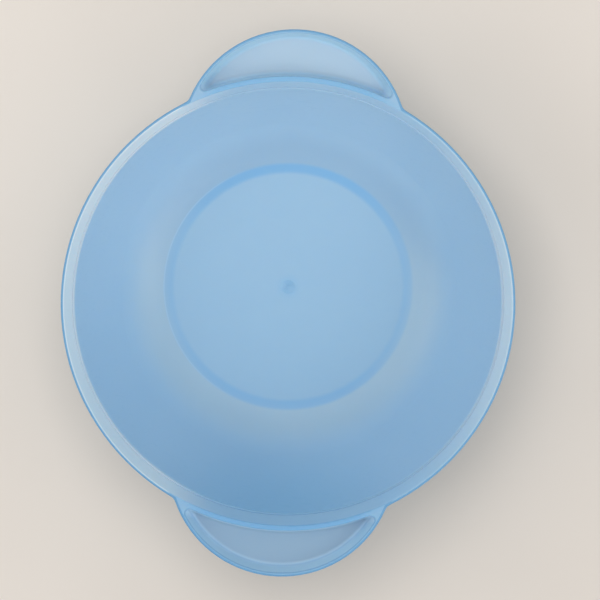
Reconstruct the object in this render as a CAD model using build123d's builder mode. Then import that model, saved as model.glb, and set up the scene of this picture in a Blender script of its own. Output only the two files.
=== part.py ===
from build123d import *
import os
from math import cos, radians, sin, tan

# A baby's suction bowl: a rigid bowl with two scooped ears, held to the table by a soft ring under its foot.
#
# The frame is +Z up. Its origin is on the table, on the bowl's axis, and the ears lie along Y. Sizes are in
# millimetres. The soft ring is three nodes, because three of its stretches move against each other: the ring
# that grips the foot, the lip that flattens when the bowl is pressed down, and the tab that peels the lip up.

# Bowl: sizes that can be set by themselves
rim_radius = 70.0
bowl_height = 50.0  # end of the foot to the rim
wall = 1.8  # side wall and floor
floor_radius = 36.0  # flat part of the floor, inside
floor_bend_radius = 20.0  # inside bend from the floor into the wall
floor_bend_angle = 55.0  # slope of the wall at the top of that bend
collar_height = 6.0  # flared band between the lid's ledge and the rim
collar_width = 4.0  # inner edge of the lid's ledge to the rim's edge, in plan
ledge_width = 0.5
rim_thickness = 1.1  # top face of the rim, all the way round the ears as well
flare_angle = 20.0  # lean of the collar and of the ears' sides, from upright
edge_round = 0.4
foot_height = 6.0
foot_radius = 38.8  # outside of the foot
foot_thickness = 2.2
foot_draft = 0.15  # how much each side of the foot tapers to its end
gate_radius = 2.2  # dimple left by the moulding gate
gate_depth = 0.45
gate_nub_radius = 0.45
gate_nub_height = 0.3

# Ears
ear_radius = 35.0
ear_reach = 15.0  # how far each ear stands out past the rim
ear_depth = 5.0
ear_wall = 1.6
ear_corner = 3.0  # round in plan, where an ear runs into the rim
ear_scoop_corner = 1.5  # in plan, where the ridge meets the ear's side
ear_scoop_round = 1.6
ear_under_round = 2.4
ridge_width = 0.4  # the ridge between bowl and ear is this much wider than the rim
ridge_draft = 5.0

# Soft ring
lip_height = 3.0  # table to the underside of the gripping ring
seat_thickness = 1.5
grip_clearance = 0.3
inner_grip_width = 1.9
outer_grip_width = 2.1
inner_grip_height = 3.6
outer_grip_height = 4.2
grip_round = 0.6
lip_reach = 5.8  # how far the lip flares past the ring
lip_root_width = 2.4
lip_edge_thickness = 0.8
lip_land = 1.4  # flat that seals on the table

# Release tab, under the front ear (-Y)
tab_width = 13.0
tab_length = 10.0  # hinge line to the tip
tab_thickness = 1.2
tab_corner = 5.0
tab_table_gap = 0.4
tab_hinge_gap = 0.12
tab_shelf = 0.9  # how far the lip's straight shelf for the tab stands out
tab_rib_count = 3
tab_rib_pitch = 1.5
tab_rib_width = 0.6
tab_rib_height = 0.4
tab_rib_length = 7.0

# Levels and radii that follow
seat_z = lip_height + seat_thickness
rim_z = seat_z + bowl_height
floor_under_z = seat_z + foot_height
floor_z = floor_under_z + wall
ledge_z = rim_z - collar_height
ear_under_z = rim_z - ear_depth - ear_wall
foot_inner_radius = foot_radius - foot_thickness
ring_inner_radius = foot_inner_radius - grip_clearance - inner_grip_width
ring_outer_radius = foot_radius + grip_clearance + outer_grip_width
lip_radius = ring_outer_radius + lip_reach
rim_inner_radius = rim_radius - rim_thickness
ledge_radius = rim_radius - collar_width
ear_centre = rim_radius + ear_reach - ear_radius
flare = tan(radians(flare_angle))
tab_hinge_radius = lip_radius + tab_shelf + tab_hinge_gap + tab_thickness / 2

os.makedirs("parts", exist_ok=True)

# Points of the bowl's section, as (radius, height)
bend = radians(floor_bend_angle)
bend_top = (
    floor_radius + floor_bend_radius * sin(bend),
    floor_z + floor_bend_radius * (1 - cos(bend)),
)
outer_bend_top = (bend_top[0] + wall * sin(bend), bend_top[1] - wall * cos(bend))
wall_top = (ledge_radius, ledge_z)
# Outside, the wall runs up into the collar's flare, level with the ears' undersides.
collar_foot = (rim_radius - (ear_depth + ear_wall) * flare, ear_under_z)
core_top = (rim_radius - ear_depth / 2 * flare, rim_z - ear_depth / 2)

# --- Bowl: shell, collar, foot and both ears are one moulding ---
with BuildPart() as bowl_core:
    # Everything inside the outer skin of the shell, up to half way along the collar
    with BuildSketch(Plane.XZ):
        with BuildLine():
            core_floor = Line((0, floor_under_z), (floor_radius, floor_under_z))
            core_bend = TangentArc(core_floor @ 1, outer_bend_top, tangent=core_floor % 1)
            core_wall = TangentArc(core_bend @ 1, collar_foot, tangent=core_bend % 1)
            Polyline(core_wall @ 1, core_top, (0, core_top[1]), core_floor @ 0)
        make_face()
    revolve(axis=Axis.Z)

with BuildPart() as bowl_hollow:
    # The space that the food goes in
    with BuildSketch(Plane.XZ):
        with BuildLine():
            hollow_floor = Line((0, floor_z), (floor_radius, floor_z))
            hollow_bend = TangentArc(hollow_floor @ 1, bend_top, tangent=hollow_floor % 1)
            hollow_wall = TangentArc(hollow_bend @ 1, wall_top, tangent=hollow_bend % 1)
            Polyline(
                hollow_wall @ 1,
                (ledge_radius + ledge_width, ledge_z),
                (rim_inner_radius, rim_z),
                (0, rim_z),
                hollow_floor @ 0,
            )
        make_face()
    revolve(axis=Axis.Z)

with BuildSketch() as rim_outline:
    # The rim in plan, bowl and ears together
    Circle(rim_radius)
    with Locations((0, ear_centre), (0, -ear_centre)):
        Circle(ear_radius)
    corners = [v for v in rim_outline.vertices() if abs(v.X) > ear_radius / 2]
    fillet(corners, ear_corner)

with BuildPart() as ear_scoops:
    # Both ears' hollows: the outline drawn in by the rim, leaning inwards, less the ridge beside the bowl
    with BuildSketch(Plane.XY.offset(rim_z)):
        add(rim_outline.sketch)
        offset(amount=-rim_thickness, kind=Kind.ARC, mode=Mode.REPLACE)
    extrude(amount=-ear_depth, taper=flare_angle)
    with BuildSketch(Plane.XY.offset(rim_z)):
        Circle(rim_radius + ridge_width)
    extrude(amount=-ear_depth, taper=-ridge_draft, mode=Mode.SUBTRACT)
    fillet([e for e in ear_scoops.edges() if e.bounding_box().size.Z > ear_depth / 2], ear_scoop_corner)
    fillet(ear_scoops.faces().group_by(Axis.Z)[0].edges(), ear_scoop_round)

with BuildPart() as bowl:
    with BuildSketch(Plane.XY.offset(rim_z)):
        add(rim_outline.sketch)
    extrude(amount=-(ear_depth + ear_wall), taper=flare_angle)
    fillet(bowl.faces().sort_by(Axis.Z)[0].edges(), ear_under_round)
    add(bowl_core.part)
    # Foot ring under the floor
    with BuildSketch(Plane.XZ):
        with BuildLine():
            Polyline(
                (foot_inner_radius, floor_under_z + wall / 2),
                (foot_inner_radius, floor_under_z),
                (foot_inner_radius + foot_draft, seat_z),
                (foot_radius - foot_draft, seat_z),
                (foot_radius, floor_under_z),
                (foot_radius, floor_under_z + wall / 2),
                close=True,
            )
        make_face()
    revolve(axis=Axis.Z)
    add(bowl_hollow.part, mode=Mode.SUBTRACT)
    add(ear_scoops.part, mode=Mode.SUBTRACT)
    fillet(bowl.edges().group_by(Axis.Z)[-1], edge_round)
    # Gate mark in the middle of the floor: a shallow dimple round a small nub
    gate_ball = (gate_radius**2 + gate_depth**2) / (2 * gate_depth)
    with Locations((0, 0, floor_z - gate_depth + gate_ball)):
        Sphere(gate_ball, mode=Mode.SUBTRACT)
    with BuildSketch(Plane.XY.offset(floor_z - gate_depth - gate_nub_height)):
        Circle(gate_nub_radius)
    extrude(amount=gate_nub_height * 2)

bowl.part.label = "bowl"
export_step(bowl.part, "parts/bowl.step")

# --- Suction ring: a soft channel that the foot presses into ---
with BuildPart() as suction_ring:
    with BuildSketch(Plane.XZ):
        with BuildLine():
            Polyline(
                (ring_inner_radius, lip_height),
                (ring_outer_radius, lip_height),
                (ring_outer_radius, seat_z + outer_grip_height),
                (foot_radius + grip_clearance, seat_z + outer_grip_height),
                (foot_radius + grip_clearance, seat_z),
                (foot_inner_radius - grip_clearance, seat_z),
                (foot_inner_radius - grip_clearance, seat_z + inner_grip_height),
                (ring_inner_radius, seat_z + inner_grip_height),
                close=True,
            )
        make_face()
    revolve(axis=Axis.Z)
    fillet(suction_ring.edges().filter_by_position(Axis.Z, seat_z + grip_round, rim_z), grip_round)
suction_ring.part.label = "suction_ring"
export_step(suction_ring.part, "parts/suction_ring.step")

# --- Sealing lip: the flared skirt that flattens against the table ---
with BuildPart() as sealing_lip:
    with BuildSketch(Plane.XZ):
        with BuildLine():
            Polyline(
                (ring_outer_radius - lip_root_width, lip_height),
                (lip_radius - lip_land, 0),
                (lip_radius, 0),
                (lip_radius, lip_edge_thickness),
                (ring_outer_radius, lip_height),
                close=True,
            )
        make_face()
    revolve(axis=Axis.Z)
    # A straight shelf on the lip's edge gives the tab a straight hinge line.
    with BuildSketch(Plane.XY.offset(tab_table_gap)):
        with Locations((0, -lip_radius - tab_shelf)):
            Rectangle(tab_width, tab_shelf + lip_land, align=(Align.CENTER, Align.MIN))
    extrude(amount=tab_thickness)
sealing_lip.part.label = "sealing_lip"
export_step(sealing_lip.part, "parts/sealing_lip.step")

# --- Release tab: peels the lip's edge up; its inner end is round about the hinge line ---
with BuildPart() as release_tab:
    with BuildSketch(Plane.XY.offset(tab_table_gap)):
        with Locations((0, -tab_hinge_radius)):
            Rectangle(tab_width, tab_length, align=(Align.CENTER, Align.MAX))
    extrude(amount=tab_thickness)
    with BuildSketch(Plane.YZ):
        with Locations((-tab_hinge_radius, tab_table_gap + tab_thickness / 2)):
            Circle(tab_thickness / 2)
    extrude(amount=tab_width / 2, both=True)
    fillet(release_tab.edges().filter_by(Axis.Z).group_by(Axis.Y)[0], tab_corner)
    # Grip ribs across the tab, on top
    with BuildSketch(Plane.XY.offset(tab_table_gap + tab_thickness)):
        with Locations((0, -tab_hinge_radius - tab_length + tab_corner)):
            with GridLocations(0, tab_rib_pitch, 1, tab_rib_count):
                Rectangle(tab_rib_length, tab_rib_width)
    extrude(amount=tab_rib_height)
release_tab.part.label = "release_tab"
export_step(release_tab.part, "parts/release_tab.step")
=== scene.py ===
"""A baby's suction bowl of milky blue plastic on its soft suction ring, standing on a pale table."""

from math import cos, pi, radians, sin

import bpy
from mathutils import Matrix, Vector


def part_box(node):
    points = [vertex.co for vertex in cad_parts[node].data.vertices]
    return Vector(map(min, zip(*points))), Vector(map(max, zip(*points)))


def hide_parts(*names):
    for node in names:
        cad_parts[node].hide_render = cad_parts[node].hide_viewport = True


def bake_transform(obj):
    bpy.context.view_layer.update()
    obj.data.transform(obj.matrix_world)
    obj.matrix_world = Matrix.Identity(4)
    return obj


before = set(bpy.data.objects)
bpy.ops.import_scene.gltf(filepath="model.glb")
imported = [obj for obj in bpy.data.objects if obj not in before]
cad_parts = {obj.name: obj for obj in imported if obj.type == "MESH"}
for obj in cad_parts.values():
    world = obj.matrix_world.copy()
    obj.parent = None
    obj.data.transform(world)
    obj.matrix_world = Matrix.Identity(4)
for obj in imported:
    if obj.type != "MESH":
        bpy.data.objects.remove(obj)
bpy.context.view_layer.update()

# --- Camera -------------------------------------------------------------------------------------------------
# Nearly straight down into the bowl, from far off through a long lens, leaning towards the far ear. The
# view is aimed a little up and right of the bowl's axis, at the height of the rim.
mm = 0.001
rim_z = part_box("bowl")[1].z
camera_distance = 2.0
camera_lean = radians(7.6)
camera_roll = radians(2.2)
view_width = 184.2 * mm  # at the height of the rim
view_right = 3.67 * mm
view_up = 1.44 * mm
sensor_width = 36  # in millimetres, as Blender counts lenses
camera_up = Vector((-sin(camera_roll), cos(camera_roll), 0))
camera_right = Vector((cos(camera_roll), sin(camera_roll), 0))
aim_point = Vector((0, 0, rim_z)) + camera_right * view_right + camera_up * view_up
towards_camera = camera_up * sin(camera_lean) + Vector((0, 0, cos(camera_lean)))
camera_place = aim_point + camera_distance * towards_camera
bpy.ops.object.camera_add(location=camera_place)
camera = bpy.context.object
camera.name = "camera"
look_down = (aim_point - camera_place).normalized()
true_up = (camera_up - look_down * camera_up.dot(look_down)).normalized()
true_right = look_down.cross(true_up)
for row in range(3):
    camera.matrix_world[row][0] = true_right[row]
    camera.matrix_world[row][1] = true_up[row]
    camera.matrix_world[row][2] = -look_down[row]
camera.data.sensor_width = sensor_width
camera.data.lens = sensor_width * camera_distance / view_width
camera.data.clip_end = 20
bpy.context.scene.camera = camera

# --- Table --------------------------------------------------------------------------------------------------
# A warm off-white laminate table top, slightly clouded and satin. It is only the floor that the bowl
# stands on and no part of the object.
table_size = 6
table_white = (0.78, 0.735, 0.685)
table_shade = (0.75, 0.705, 0.655)
bpy.ops.object.select_all(action="DESELECT")
bpy.ops.mesh.primitive_plane_add(size=table_size, location=(0, 0, 0))
table = bpy.context.object
table.name = "table"


def new_finish(name, roughness):
    """A material with a Principled shader of that roughness; gives the material, its node tree and shader."""
    finish = bpy.data.materials.new(name)
    finish.use_nodes = True
    shader = finish.node_tree.nodes["Principled BSDF"]
    shader.inputs["Roughness"].default_value = roughness
    return finish, finish.node_tree, shader


def link(tree, source, target):
    """Joins an output socket to an input socket, or sets the input to a plain value."""
    if hasattr(source, "is_output"):
        tree.links.new(source, target)
    else:
        target.default_value = source


def noise(tree, coordinates, scale, detail=2.0):
    """Soft noise, 0 to 1, at that many blots to the metre."""
    node = tree.nodes.new("ShaderNodeTexNoise")
    node.inputs["Scale"].default_value = scale
    node.inputs["Detail"].default_value = detail
    link(tree, coordinates, node.inputs["Vector"])
    return node.outputs["Fac"]


def ramp(tree, source, stops):
    """A colour ramp with the given (place, colour) stops, eased between them."""
    node = tree.nodes.new("ShaderNodeValToRGB")
    node.color_ramp.interpolation = "EASE"
    elements = node.color_ramp.elements
    elements[0].position = stops[0][0]
    elements[0].color = (*stops[0][1], 1)
    elements[1].position = stops[-1][0]
    elements[1].color = (*stops[-1][1], 1)
    for place, colour in stops[1:-1]:
        elements.new(place).color = (*colour, 1)
    link(tree, source, node.inputs["Fac"])
    return node.outputs["Color"]


table_finish, tree, shader = new_finish("table_laminate", 0.6)
place = tree.nodes.new("ShaderNodeTexCoord").outputs["Object"]
table_clouds = noise(tree, place, 9)
link(tree, ramp(tree, table_clouds, [(0.3, table_shade), (0.7, table_white)]), shader.inputs["Base Color"])
table.data.materials.append(table_finish)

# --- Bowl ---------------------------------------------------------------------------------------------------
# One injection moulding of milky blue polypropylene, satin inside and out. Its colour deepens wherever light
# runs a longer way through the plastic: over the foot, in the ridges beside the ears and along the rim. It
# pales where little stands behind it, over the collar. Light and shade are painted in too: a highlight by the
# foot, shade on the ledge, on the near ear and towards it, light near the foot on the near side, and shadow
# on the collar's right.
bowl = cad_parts["bowl"]
bowl_finish, tree, shader = new_finish("milky_blue_polypropylene", 0.4)
place = tree.nodes.new("ShaderNodeTexCoord").outputs["Object"]


def math_node(tree, operation, first, second=0.0, third=0.0):
    """A maths node on sockets or plain numbers."""
    node = tree.nodes.new("ShaderNodeMath")
    node.operation = operation
    link(tree, first, node.inputs[0])
    link(tree, second, node.inputs[1])
    link(tree, third, node.inputs[2])
    return node.outputs["Value"]


def vector_node(tree, operation, first, second=(0, 0, 0), output="Vector"):
    """A vector maths node on sockets or plain vectors."""
    node = tree.nodes.new("ShaderNodeVectorMath")
    node.operation = operation
    link(tree, first, node.inputs[0])
    link(tree, second, node.inputs[1])
    return node.outputs[output]


def fade(tree, value, start, end, low=0.0, high=1.0):
    """Eases from low, where the value is start, to high, where it is end; start may be the larger."""
    node = tree.nodes.new("ShaderNodeMapRange")
    node.interpolation_type = "SMOOTHSTEP"
    node.inputs["From Min"].default_value = min(start, end)
    node.inputs["From Max"].default_value = max(start, end)
    node.inputs["To Min"].default_value = low if start < end else high
    node.inputs["To Max"].default_value = high if start < end else low
    link(tree, value, node.inputs["Value"])
    return node.outputs["Result"]


def overlap(tree, first, *others):
    """The mask where all the given masks overlap: their product."""
    for other in others:
        first = math_node(tree, "MULTIPLY", first, other)
    return first


def band(tree, value, rise, fall):
    """A mask that fades in over the rise, a (start, end) pair of values, and out again over the fall."""
    return overlap(tree, fade(tree, value, *rise), fade(tree, value, fall[1], fall[0]))


def tint(tree, mask, under, over, blend="MIX"):
    """Lays one colour over another by the mask."""
    node = tree.nodes.new("ShaderNodeMix")
    node.data_type = "RGBA"
    node.blend_type = blend
    link(tree, mask, node.inputs["Factor"])
    for colour, name in ((under, "A"), (over, "B")):
        target = next(i for i in node.inputs if i.name == name and i.type == "RGBA")
        link(tree, (*colour, 1) if isinstance(colour, tuple) else colour, target)
    return next(o for o in node.outputs if o.type == "RGBA")


def deepen(tree, mask, colour, share):
    """Multiplies the colour's red, green and blue by the shares, where the mask is."""
    return tint(tree, mask, colour, tint(tree, 1.0, colour, share, "MULTIPLY"))


def mix_values(tree, mask, first, second):
    """Goes from the first value to the second by the mask."""
    node = tree.nodes.new("ShaderNodeMix")
    link(tree, mask, node.inputs["Factor"])
    link(tree, first, node.inputs["A"])
    link(tree, second, node.inputs["B"])
    return node.outputs["Result"]


def bump(tree, shader, height, depth, under=None):
    """Bumps a shader by the height, depth metres deep, over another bump."""
    node = tree.nodes.new("ShaderNodeBump")
    node.inputs["Strength"].default_value = 1
    node.inputs["Distance"].default_value = depth
    link(tree, height, node.inputs["Height"])
    if under is not None:
        link(tree, under, node.inputs["Normal"])
    link(tree, node.outputs["Normal"], shader.inputs["Normal"])
    return node.outputs["Normal"]


split = tree.nodes.new("ShaderNodeSeparateXYZ")
link(tree, place, split.inputs["Vector"])
to_right, to_far, height = (split.outputs[axis] for axis in "XYZ")
from_axis = vector_node(tree, "LENGTH", vector_node(tree, "MULTIPLY", place, (1, 1, 0)), output="Value")

# Floor and wall
rim_radius = 70 * mm
floor_radius = 37 * mm
wall_start = 39.5 * mm
wall_end = 66 * mm
floor_blue = (0.345, 0.55, 0.735)
wall_blue = (0.39, 0.58, 0.75)
radii = [(0.0, floor_blue), (floor_radius, floor_blue), (wall_start, wall_blue), (wall_end, wall_blue)]
rim_share = math_node(tree, "DIVIDE", from_axis, rim_radius)
colour = ramp(tree, rim_share, [(radius / rim_radius, blue) for radius, blue in radii])

# Just outside the foot it is paler, as if the soft ring showed through, and it is painted paler still on the
# near side, as painted light
over_ring_near_lit = (0.405, 0.57, 0.695)
over_ring_far = (0.325, 0.505, 0.675)
over_ring_starts = (36.5 * mm, wall_start)
over_ring_ends = (43 * mm, 52 * mm)
over_ring = tint(tree, fade(tree, to_far, -5 * mm, 32 * mm), over_ring_near_lit, over_ring_far)
colour = tint(tree, band(tree, from_axis, over_ring_starts, over_ring_ends), colour, over_ring)

# Over the foot the plastic is thickest; it shows most towards the ears and on the far side
foot_blue = (0.22, 0.48, 0.745)
foot_inside = (35.1 * mm, 36.9 * mm)
foot_outside = (38.2 * mm, 39.6 * mm)
towards_ears = math_node(tree, "DIVIDE", math_node(tree, "ABSOLUTE", to_far), from_axis)
foot_mask = overlap(
    tree,
    band(tree, from_axis, foot_inside, foot_outside),
    fade(tree, towards_ears, 0.35, 0.95, 0.5, 1.0),
    fade(tree, to_far, -36 * mm, 36 * mm, 0.7, 1.0),
)
colour = tint(tree, foot_mask, colour, foot_blue)

# A painted highlight: a hair of paler blue follows the foot's outer corner, on the left
foot_highlight_blue = (0.44, 0.66, 0.86)
line_start, line_middle, line_end = 38.6 * mm, 38.95 * mm, 39.3 * mm
painted_foot_highlight = overlap(
    tree,
    band(tree, from_axis, (line_start, line_middle), (line_middle, line_end)),
    fade(tree, to_right, -10 * mm, -32 * mm, 0, 0.4),
)
colour = tint(tree, painted_foot_highlight, colour, foot_highlight_blue)

# Collar: paler from just below the lid's ledge up, but plain blue in front of the ears. On the right it pales
# more slowly, a painted shadow of the shaded table seen through it. The distance to the nearer ear's centre
# in plan marks both ears at once.
ear_centre = 50 * mm
ear_radius = 35 * mm
ledge_z = rim_z - 6 * mm
collar_blue = (0.665, 0.745, 0.81)
ledge_shade_share = (0.78, 0.82, 0.86)
mirrored = vector_node(tree, "MULTIPLY", vector_node(tree, "ABSOLUTE", place), (1, 1, 0))
from_ear = vector_node(tree, "DISTANCE", mirrored, (0, ear_centre, 0), output="Value")
clear_of_ear_shaded_right = mix_values(
    tree,
    fade(tree, to_right, -30 * mm, 35 * mm),
    fade(tree, from_ear, ear_radius - 13 * mm, ear_radius + 3 * mm),
    fade(tree, from_ear, ear_radius - 10 * mm, ear_radius + 46 * mm, 0, 0.8),
)
# The collar and its outer skin lean alike, so this leaning distance tells the inner face from the outer
collar_slope = 0.4
lean = math_node(tree, "MULTIPLY_ADD", height, -collar_slope, from_axis)
outer_lean = rim_radius - collar_slope * rim_z
inner_face = fade(tree, lean, outer_lean - 0.2 * mm, outer_lean - 0.8 * mm, 0.35, 1.0)
above_ledge = fade(tree, height, ledge_z - 1.5 * mm, ledge_z)
colour = tint(tree, overlap(tree, above_ledge, clear_of_ear_shaded_right, inner_face), colour, collar_blue)
# The ledge is painted darker: painted shade that cancels the light its upward face catches
ledge_bottom = (ledge_z - 0.3 * mm, ledge_z - 0.1 * mm)
ledge_top = (ledge_z + 0.05 * mm, ledge_z + 0.2 * mm)
ledge_painted_shade = overlap(tree, band(tree, height, ledge_bottom, ledge_top), fade(tree, inner_face, 0.5, 0.9))
colour = deepen(tree, ledge_painted_shade, colour, ledge_shade_share)

# Ears: pale floors with deeper sides. The near ear has painted light and shade: a darker floor, paler sides
# and a fine deep line of painted shade round its floor
ear_blue = (0.405, 0.555, 0.685)
near_ear_shaded_blue = (0.325, 0.455, 0.58)
ear_side_blue = (0.42, 0.625, 0.785)
near_side_lit_blue = (0.50, 0.67, 0.81)
near_line_shade_share = (0.80, 0.86, 0.92)
on_ear = fade(tree, from_axis, rim_radius + 0.2 * mm, rim_radius + 0.5 * mm)
near_ear = fade(tree, to_far, 0.0, -60 * mm)
colour = tint(tree, on_ear, colour, tint(tree, near_ear, ear_blue, near_ear_shaded_blue))
ear_side = fade(tree, from_ear, ear_radius - 4.2 * mm, ear_radius - 3.1 * mm)
by_ridge = fade(tree, from_axis, rim_radius + 1.8 * mm, rim_radius + 0.9 * mm)
ear_walls = math_node(tree, "MAXIMUM", ear_side, by_ridge)
ear_sides = tint(tree, near_ear, ear_side_blue, near_side_lit_blue)
colour = tint(tree, overlap(tree, on_ear, ear_walls), colour, ear_sides)
line_starts = (ear_radius - 3.3 * mm, ear_radius - 3.0 * mm)
line_ends = (ear_radius - 2.9 * mm, ear_radius - 2.6 * mm)
near_crease_shade = overlap(tree, band(tree, from_ear, line_starts, line_ends), on_ear, near_ear)
colour = deepen(tree, near_crease_shade, colour, near_line_shade_share)

# The solid corners of the ears, level with the rim, are deeper too
corner_blue = (0.29, 0.49, 0.68)
on_corner = overlap(
    tree,
    fade(tree, from_axis, rim_radius - 1.3 * mm, rim_radius - 1.0 * mm),
    fade(tree, from_ear, ear_radius + 1.5 * mm, ear_radius + 0.3 * mm),
    fade(tree, height, rim_z - 1.1 * mm, rim_z - 0.5 * mm),
)
colour = tint(tree, on_corner, colour, corner_blue)

# Ridge between the bowl and each ear, fading out towards its ends
ridge_blue = (0.20, 0.43, 0.67)
ridge_inside = (rim_radius - 1.5 * mm, rim_radius - 0.9 * mm)
ridge_outside = (rim_radius + 0.1 * mm, rim_radius + 0.5 * mm)
ridge_mask = overlap(
    tree,
    band(tree, from_axis, ridge_inside, ridge_outside),
    fade(tree, from_ear, ear_radius - 0.5 * mm, ear_radius - 8 * mm),
)
colour = tint(tree, ridge_mask, colour, ridge_blue)

# Rim: the deepest blue, along the very edge of the bowl and the ears
edge_blue = (0.14, 0.335, 0.55)
edge_start = -1.05 * mm
edge_full = -0.7 * mm
edge_mask = overlap(
    tree,
    fade(tree, height, rim_z - 1.0 * mm, rim_z - 0.6 * mm),
    fade(tree, from_ear, ear_radius + edge_start, ear_radius + edge_full),
    fade(tree, from_axis, rim_radius + edge_start, rim_radius + edge_full),
)
colour = tint(tree, edge_mask, colour, edge_blue)

# Gate mark: a little deeper in and round the dimple
colour = tint(tree, fade(tree, from_axis, 4.6 * mm, 0.8 * mm, 0, 0.45), colour, foot_blue)

# The tint is a little uneven, as the melt flowed. It is painted darker towards the near ear, most in front of
# it, as painted shade
flow_share = (0.95, 0.97, 0.985)
before_near_ear_shade_share = (0.75, 0.89, 0.95)
near_shade_share = (0.80, 0.88, 0.93)
flow = noise(tree, vector_node(tree, "MULTIPLY", place, (1, 1, 0.4)), 22, 3)
colour = tint(tree, 1.0, colour, ramp(tree, flow, [(0.3, flow_share), (0.7, (1.0, 1.0, 1.0))]), "MULTIPLY")
from_near_ear = vector_node(tree, "DISTANCE", place, (0, -ear_centre, rim_z), output="Value")
before_near_ear_shade = overlap(
    tree,
    fade(tree, from_near_ear, 42 * mm, 14 * mm),
    fade(tree, height, ledge_z, ledge_z + 0.4 * mm, 1.0, 0.25),
)
colour = deepen(tree, before_near_ear_shade, colour, before_near_ear_shade_share)
colour = deepen(tree, fade(tree, to_far, 75 * mm, -75 * mm), colour, near_shade_share)

# Fine pale specks of dust in the plastic
speck_blue = (0.75, 0.84, 0.90)
specks = tree.nodes.new("ShaderNodeTexVoronoi")
specks.inputs["Scale"].default_value = 70
specks.inputs["Randomness"].default_value = 1
link(tree, place, specks.inputs["Vector"])
chance = vector_node(tree, "DOT_PRODUCT", specks.outputs["Color"], (1, 0, 0), output="Value")
few = math_node(tree, "GREATER_THAN", chance, 0.9)
speck = overlap(tree, fade(tree, specks.outputs["Distance"], 0.028, 0.012), few, 0.5)
colour = tint(tree, speck, colour, speck_blue)
link(tree, colour, shader.inputs["Base Color"])

# Satin surface, with the fine grain of the mould and scuffs from washing
scuffs = noise(tree, vector_node(tree, "MULTIPLY", place, (1, 5, 2)), 260, 4)
scuff = fade(tree, scuffs, 0.56, 0.68)
satin = fade(tree, flow, 0.3, 0.7, 0.36, 0.46)
link(tree, math_node(tree, "MULTIPLY_ADD", scuff, 0.16, satin), shader.inputs["Roughness"])
grain = bump(tree, shader, noise(tree, place, 2600, 2), 0.012 * mm)
bump(tree, shader, noise(tree, place, 45, 1), 0.12 * mm, grain)
shader.inputs["Subsurface Weight"].default_value = 0.4
shader.inputs["Subsurface Radius"].default_value = (0.5, 0.8, 1.0)
shader.inputs["Subsurface Scale"].default_value = 3 * mm
bowl.data.materials.clear()
bowl.data.materials.append(bowl_finish)

# --- Suction ring -------------------------------------------------------------------------------------------
# The upper stretch of the soft ring: a channel of milky elastomer that grips the bowl's foot by its two
# walls. It comes from the mould matt, and it picks up a little dust.
ring_white = (0.70, 0.79, 0.83)
ring_grey = (0.58, 0.66, 0.70)
soft_finish, tree, shader = new_finish("milky_elastomer", 0.6)
place = tree.nodes.new("ShaderNodeTexCoord").outputs["Object"]
clouds = noise(tree, place, 60, 4)
dust = fade(tree, noise(tree, place, 420, 5), 0.55, 0.75, 0, 0.35)
ring_shade = tuple(0.95 * part for part in ring_white)
soft_colour = ramp(tree, clouds, [(0.3, ring_shade), (0.7, ring_white)])
link(tree, tint(tree, dust, soft_colour, ring_grey), shader.inputs["Base Color"])
link(tree, fade(tree, clouds, 0.3, 0.7, 0.52, 0.68), shader.inputs["Roughness"])
bump(tree, shader, noise(tree, place, 3000, 2), 0.015 * mm)
shader.inputs["Subsurface Weight"].default_value = 0.5
shader.inputs["Subsurface Radius"].default_value = (0.9, 1.0, 1.0)
shader.inputs["Subsurface Scale"].default_value = 2 * mm
suction_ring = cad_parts["suction_ring"]
suction_ring.data.materials.clear()
suction_ring.data.materials.append(soft_finish)

# --- Sealing lip --------------------------------------------------------------------------------------------
# The ring's skirt, in one with it. It flares out to a thin rounded edge and seals on a narrow flat face,
# and it squashes down as the bowl is pressed on to the table. A short shelf in front carries the tab.
ring_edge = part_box("suction_ring")[1].x
lip_low, lip_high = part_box("sealing_lip")
lip_top = lip_high.z
lip_edge = lip_high.x
shelf_y = lip_low.y
shelf_half_width = 6.5 * mm
shelf_top = 1.6 * mm
shelf_under = 0.4 * mm
lip_steps = 216
# The skirt's section as (radius, height), round from the top of its outside
lip_section = [
    (ring_edge, lip_top),
    (ring_edge + 0.35 * mm, 2.72 * mm),
    (ring_edge + 1.2 * mm, 2.32 * mm),
    (ring_edge + 2.4 * mm, 1.78 * mm),
    (ring_edge + 3.6 * mm, 1.36 * mm),
    (ring_edge + 4.7 * mm, 1.08 * mm),
    (lip_edge - 0.45 * mm, 0.86 * mm),
    (lip_edge - 0.12 * mm, 0.68 * mm),
    (lip_edge, 0.42 * mm),
    (lip_edge - 0.10 * mm, 0.14 * mm),
    (lip_edge - 0.40 * mm, 0.0),
    (lip_edge - 1.20 * mm, 0.0),
    (lip_edge - 1.60 * mm, 0.16 * mm),
    (lip_edge - 2.8 * mm, 0.66 * mm),
    (lip_edge - 4.2 * mm, 1.22 * mm),
    (lip_edge - 5.6 * mm, 1.86 * mm),
    (lip_edge - 7.2 * mm, 2.58 * mm),
    (lip_edge - 8.1 * mm, lip_top),
]
outer_edge_ring = 8


def pick(piece, wanted, kind="FACE"):
    """In edit mode, selects only the faces, edges or vertices that wanted says yes to."""
    bpy.ops.mesh.select_mode(type=kind)
    bpy.ops.mesh.select_all(action="DESELECT")
    bpy.ops.object.mode_set(mode="OBJECT")
    parts = {"FACE": piece.data.polygons, "EDGE": piece.data.edges, "VERT": piece.data.vertices}[kind]
    for part in parts:
        part.select = bool(wanted(part))
    bpy.ops.object.mode_set(mode="EDIT")


def close_up(piece):
    """In edit mode, merges doubles and points every face outwards, then goes back to object mode."""
    bpy.ops.mesh.select_all(action="SELECT")
    bpy.ops.mesh.remove_doubles(threshold=0.0005 * mm)
    bpy.ops.mesh.normals_make_consistent(inside=False)
    bpy.ops.object.mode_set(mode="OBJECT")


def settle(piece, smooth_angle):
    """Leaves the piece at the origin, unturned, smooth-shaded up to that angle."""
    bpy.ops.object.transform_apply(location=True, rotation=True, scale=True)
    bpy.ops.object.shade_smooth_by_angle(angle=radians(smooth_angle))


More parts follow.
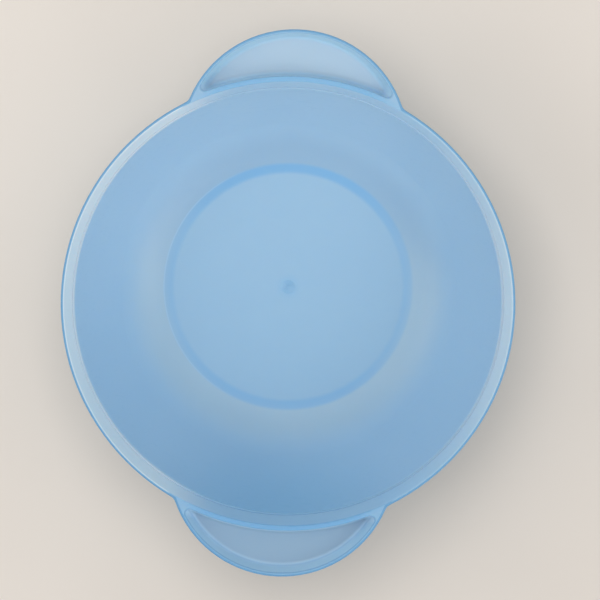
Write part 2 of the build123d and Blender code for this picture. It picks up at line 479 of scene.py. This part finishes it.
bpy.ops.object.select_all(action="DESELECT")
first_radius, first_height = lip_section[0]
bpy.ops.mesh.primitive_circle_add(vertices=lip_steps, radius=first_radius, location=(0, 0, first_height))
lip_skirt = bpy.context.object
lip_skirt.name = "lip_skirt"
bpy.ops.object.transform_apply(location=True)
bpy.ops.object.mode_set(mode="EDIT")
bpy.ops.mesh.select_all(action="SELECT")
radius, level = first_radius, first_height
for next_radius, next_level in lip_section[1:] + lip_section[:1]:
    bpy.ops.mesh.extrude_region_move(TRANSFORM_OT_translate={"value": (0, 0, next_level - level)})
    growth = next_radius / radius
    bpy.ops.transform.resize(value=(growth, growth, 1), center_override=(0, 0, next_level))
    radius, level = next_radius, next_level
close_up(lip_skirt)
# The shelf is drawn straight out of the edge's faces beside the tab
bpy.ops.object.mode_set(mode="EDIT")
edge_low = lip_section[outer_edge_ring + 1][1]
edge_high = lip_section[outer_edge_ring - 2][1]
pick(
    lip_skirt,
    lambda f: f.center.y < 0
    and abs(f.center.x) < shelf_half_width
    and f.center.to_2d().length > lip_edge - 0.35 * mm
    and edge_low < f.center.z < edge_high,
)
bpy.ops.mesh.extrude_region_move(TRANSFORM_OT_translate={"value": (0, 0, 0)})
shelf_middle = (0, shelf_y, (shelf_under + shelf_top) / 2)
bpy.ops.transform.resize(value=(1, 0, 1), center_override=shelf_middle)
shelf_growth = (shelf_top - shelf_under) / (edge_high - edge_low)
bpy.ops.transform.resize(value=(1, 1, shelf_growth), center_override=(0, shelf_y, (edge_low + edge_high) / 2))
bpy.ops.transform.translate(value=(0, 0, shelf_middle[2] - (edge_low + edge_high) / 2))
close_up(lip_skirt)
settle(lip_skirt, 45)
lip_skirt.data.materials.append(soft_finish)
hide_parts("sealing_lip")
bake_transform(lip_skirt)

# --- Release tab --------------------------------------------------------------------------------------------
# A finger tab moulded on the lip's shelf through a thin web, with three grip ribs on top. Pulled up, it
# bends at the web and peels the lip's edge off the table.
tab_low, tab_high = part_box("release_tab")
tab_half_width = tab_high.x
tab_tip = tab_low.y
tab_under = tab_low.z
tab_top = shelf_top
tab_corner = 5 * mm
web_half_width = 6.2 * mm
web_half_thickness = 0.3 * mm
web_start = shelf_y + 0.35 * mm
web_end = shelf_y - 1.3 * mm
tab_middle = (tab_under + tab_top) / 2
rib_half_length = 3.5 * mm
rib_half_width = 0.3 * mm
rib_pitch = 1.5 * mm
rib_height = tab_high.z - tab_top
corner_steps = 9
bpy.ops.object.select_all(action="DESELECT")
bpy.ops.mesh.primitive_cube_add(size=1, location=(0, (web_start + web_end) / 2, tab_middle))
pull_tab = bpy.context.object
pull_tab.name = "pull_tab"
bpy.ops.transform.resize(value=(2 * web_half_width, web_start - web_end, 2 * web_half_thickness))
bpy.ops.object.transform_apply(location=True, scale=True)
bpy.ops.object.mode_set(mode="EDIT")


def draw_out(y, half_width, half_thickness, was_half_width, was_half_thickness, was_y):
    """Extrudes the selected end face to y and gives it that width and thickness."""
    bpy.ops.mesh.extrude_region_move(TRANSFORM_OT_translate={"value": (0, y - was_y, 0)})
    bpy.ops.transform.resize(
        value=(half_width / was_half_width, 1, half_thickness / was_half_thickness),
        center_override=(0, y, tab_middle),
    )


tab_half_thickness = (tab_top - tab_under) / 2
stations = [
    (web_end - 0.35 * mm, tab_half_width - 0.1 * mm, tab_half_thickness - 0.1 * mm),
    (web_end - 0.6 * mm, tab_half_width, tab_half_thickness),
    (tab_tip + tab_corner, tab_half_width, tab_half_thickness),
]
for step in range(1, corner_steps + 1):
    turn = pi / 2 * step / corner_steps
    stations.append((
        tab_tip + tab_corner * (1 - sin(turn)),
        tab_half_width - tab_corner * (1 - cos(turn)),
        tab_half_thickness,
    ))
pick(pull_tab, lambda f: f.normal.y < -0.9)
now = (web_end, web_half_width, web_half_thickness)
for station in stations:
    draw_out(*station, now[1], now[2], now[0])
    now = station
# Ribs: the tab's top is cut along their outlines, and they are raised from it
rib_middle = tab_tip + tab_corner
rib_rows = [rib_middle + n * rib_pitch for n in (-1, 0, 1)]
cuts = [((side * rib_half_length, 0, 0), (1, 0, 0)) for side in (-1, 1)]
cuts += [((0, row + side * rib_half_width, 0), (0, 1, 0)) for row in rib_rows for side in (-1, 1)]
for point, normal in cuts:
    bpy.ops.mesh.select_all(action="SELECT")
    bpy.ops.mesh.bisect(plane_co=point, plane_no=normal)
pick(
    pull_tab,
    lambda f: f.normal.z > 0.9
    and abs(f.center.x) < rib_half_length
    and any(abs(f.center.y - row) < rib_half_width for row in rib_rows),
)
bpy.ops.mesh.extrude_region_move(TRANSFORM_OT_translate={"value": (0, 0, rib_height)})
close_up(pull_tab)
soft_edges = pull_tab.modifiers.new("soft_edges", "BEVEL")
soft_edges.width = 0.16 * mm
soft_edges.segments = 3
soft_edges.limit_method = "ANGLE"
soft_edges.angle_limit = radians(50)
bpy.ops.object.modifier_apply(modifier="soft_edges")
settle(pull_tab, 40)
pull_tab.data.materials.append(soft_finish)
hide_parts("release_tab")
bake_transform(pull_tab)

# --- Studio light -------------------------------------------------------------------------------------------
# An even pale room. Two soft windows, beyond the far ear and on the left, light the table alone. Three
# softboxes light the pieces alone, mostly from the near right, so the far left of the bowl is brightest.
window_white = (1.0, 0.95, 0.90)
softbox_white = (1.0, 0.99, 0.97)
room_white = (0.69, 0.68, 0.67)


def soft_light(name, place, size, power, colour, lit):
    """A square area light of that size, in metres, aimed at the bowl, which lights only the given objects."""
    bpy.ops.object.light_add(type="AREA", location=place)
    light = bpy.context.object
    light.name = name
    light.data.shape = "SQUARE"
    light.data.size = size
    light.data.energy = power
    light.data.color = colour
    light.rotation_euler = (Vector((0, 0, 0.03)) - Vector(place)).to_track_quat("-Z", "Y").to_euler()
    lit_only = bpy.data.collections.new(name + "_lights")
    for one in lit:
        lit_only.objects.link(one)
    light.light_linking.receiver_collection = lit_only


pieces = [bowl, suction_ring, lip_skirt, pull_tab]
soft_light("window", (-0.1, 0.28, 1.05), 0.5, 3.45, window_white, [table])
soft_light("far_window", (-0.75, 0.1, 0.75), 0.5, 0.9, (1.0, 0.96, 0.90), [table])
soft_light("near_softbox", (0.82, -0.48, 0.88), 0.8, 4.5, softbox_white, pieces)
soft_light("left_softbox", (-0.9, 0.1, 0.8), 0.6, 2.3, softbox_white, pieces)
soft_light("overhead", (-0.2, 0.1, 1.6), 0.8, 4.0, (1.0, 0.98, 0.95), pieces)
sky = bpy.data.worlds.new("studio")
sky.use_nodes = True
sky.node_tree.nodes["Background"].inputs["Color"].default_value = (*room_white, 1)
bpy.context.scene.world = sky
bpy.context.scene.view_settings.view_transform = "Standard"
